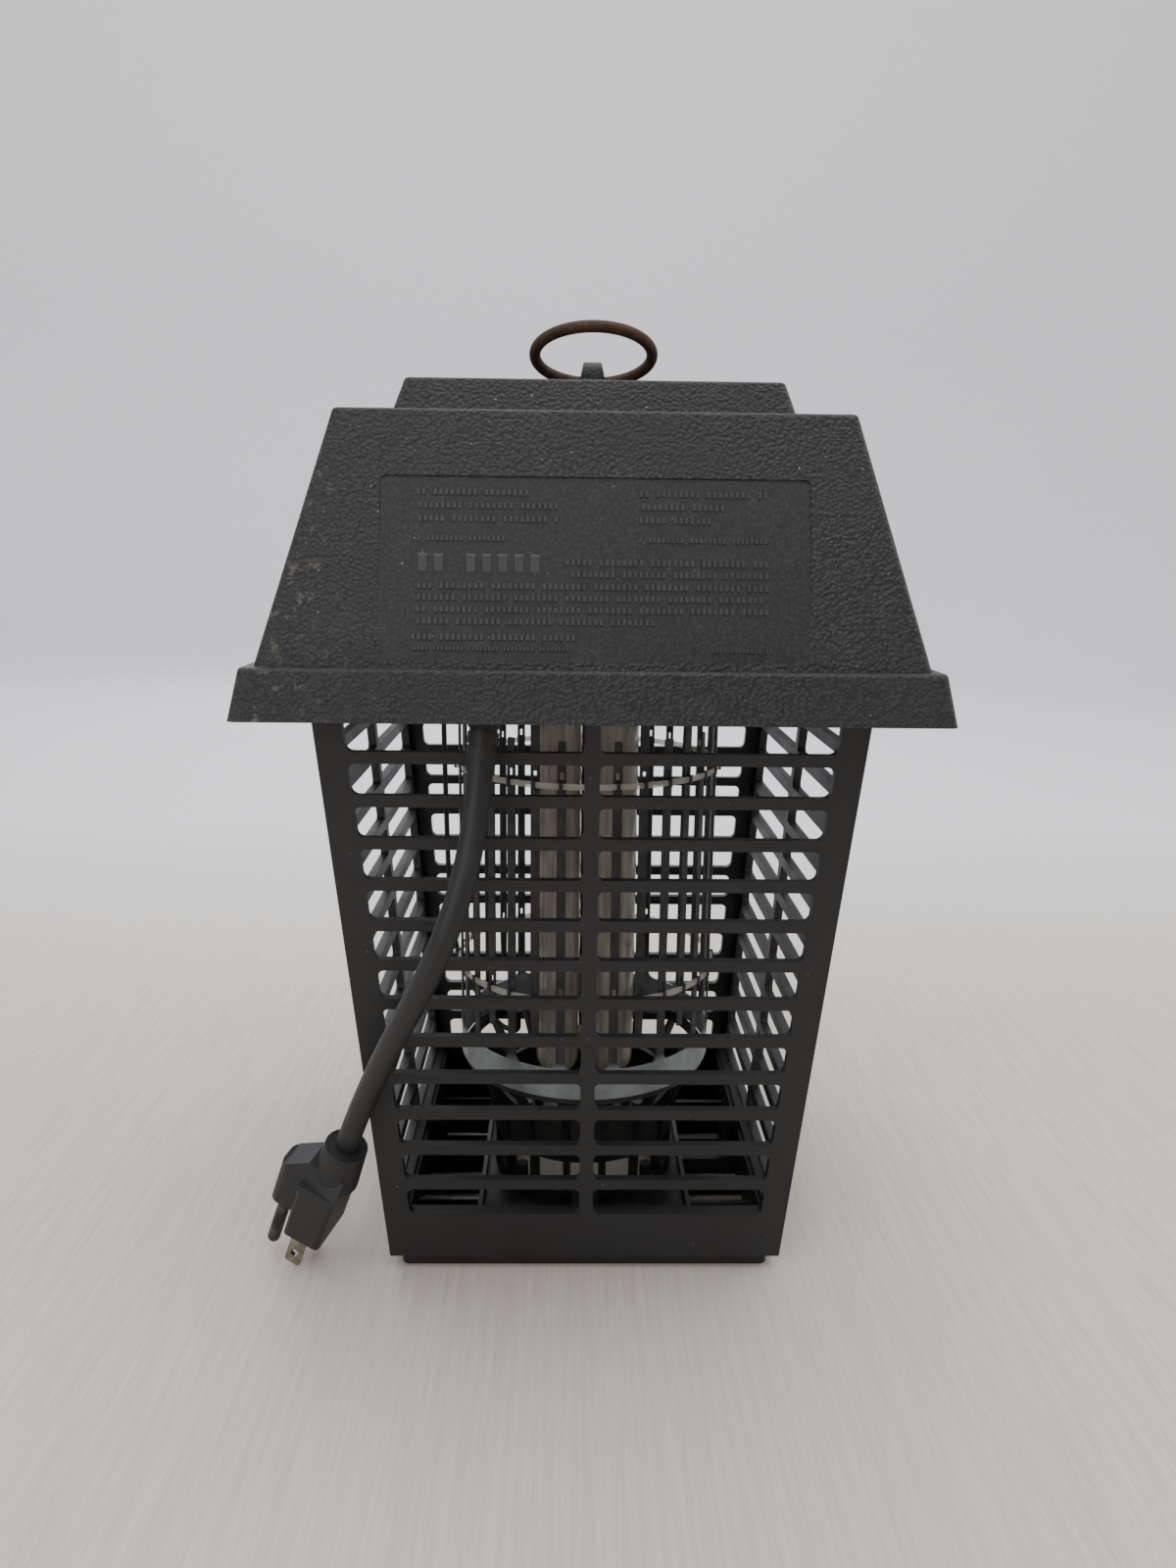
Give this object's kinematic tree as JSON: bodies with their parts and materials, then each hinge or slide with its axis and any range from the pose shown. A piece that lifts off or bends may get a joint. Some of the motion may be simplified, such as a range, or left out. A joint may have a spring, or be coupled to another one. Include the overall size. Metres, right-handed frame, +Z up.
{
  "type": "electric bug zapper",
  "caption": "Square lantern insect killer with slatted panels round a high-voltage finger grid and a folded lamp, under a moulded roof with a hanging ring, mains lead and plug.",
  "frame": {"origin": "centre of the foot, on the surface the unit stands on", "axes": "+Z up to the hanging ring; -Y is the front, where the mains lead leaves; +X to the right seen from the front"},
  "size_m": [0.2349, 0.2332, 0.3447],
  "materials": {
    "roof_plastic": "leather-grained moulded polypropylene, charcoal black, dusty",
    "cage_plastic": "moulded polypropylene, black, slightly weathered",
    "base_plastic": "moulded polypropylene, black",
    "drum_plastic": "moulded high-temperature plastic, dark grey",
    "rusted_steel": "round steel wire with brown rust",
    "screw_steel": "zinc-plated screws, dulled",
    "galvanised_sheet": "hot-dip galvanised sheet, pressed",
    "clear_strip": "clear polycarbonate strip, slightly yellowed",
    "porcelain": "unglazed white porcelain",
    "lamp_glass": "phosphor-coated glass tube, unlit, tan grey",
    "lamp_base_plastic": "moulded thermoset, off-white",
    "pin_brass": "drawn brass pins",
    "socket_plastic": "moulded thermoset, cream",
    "core_laminations": "varnished silicon-steel laminations",
    "winding_tape": "amber insulating tape over enamelled copper",
    "strap_steel": "zinc-plated steel strip",
    "starter_aluminium": "drawn aluminium can",
    "nut_plastic": "moulded nylon, yellow",
    "black_pvc": "black PVC insulation",
    "white_pvc": "white PVC insulation",
    "green_pvc": "green PVC insulation",
    "red_silicone": "red silicone high-voltage insulation",
    "terminal_brass": "tinned brass ring terminal",
    "chassis_steel": "galvanised steel plate",
    "cord_rubber": "black rubber jacket, dulled",
    "plug_rubber": "moulded charcoal PVC-rubber",
    "blade_brass": "nickel-plated brass, tarnished",
    "pin_steel": "plated steel, dark grey tarnish"
  },
  "bodies": {
    "housing": {"ballast_core": "core_laminations", "ballast_lead": "white_pvc", "ballast_screws": "screw_steel", "ballast_strap": "strap_steel", "ballast_winding": "winding_tape", "base_screws": "screw_steel", "base_tray": "base_plastic", "cage_screws": "screw_steel", "chassis_plate": "chassis_steel", "cord_strain_relief": "cord_rubber", "grid_screws": "screw_steel", "grille_front": "cage_plastic", "grille_left": "cage_plastic", "grille_rear": "cage_plastic", "grille_right": "cage_plastic", "ground_lead": "green_pvc", "ground_screw": "screw_steel", "ground_terminal": "terminal_brass", "lamp_base": "lamp_base_plastic", "lamp_lead": "white_pvc", "lamp_pins": "pin_brass", "lamp_socket": "socket_plastic", "lamp_tubes": "lamp_glass", "line_lead": "black_pvc", "lower_electrode": "galvanised_sheet", "lower_grid_lead": "red_silicone", "lower_grid_screws": "screw_steel", "lower_grid_support": "drum_plastic", "lower_hoop": "clear_strip", "neutral_lead": "white_pvc", "plug_blades": "blade_brass", "plug_body": "plug_rubber", "plug_ground_pin": "pin_steel", "power_cord": "cord_rubber", "roof_cover": "roof_plastic", "roof_screws": "screw_steel", "starter_can": "starter_aluminium", "starter_socket": "socket_plastic", "support_screws": "screw_steel", "transformer_core": "core_laminations", "transformer_lead": "black_pvc", "transformer_screws": "screw_steel", "transformer_strap": "strap_steel", "transformer_winding": "winding_tape", "upper_electrode": "galvanised_sheet", "upper_grid_lead": "red_silicone", "upper_hoop": "clear_strip", "upper_insulator_1": "porcelain", "upper_insulator_2": "porcelain", "upper_insulator_3": "porcelain", "upper_insulator_4": "porcelain", "wire_nut_1": "nut_plastic", "wire_nut_2": "nut_plastic"},
    "ring": {"hanging_ring": "rusted_steel"}
  },
  "joints": [
    {"name": "ring_hinge", "type": "hinge", "parent": "housing", "child": "ring", "pos_m": [0, 0, 0.3296], "axis": [1, 0, 0], "range_deg": [-168, 24]}
  ]
}
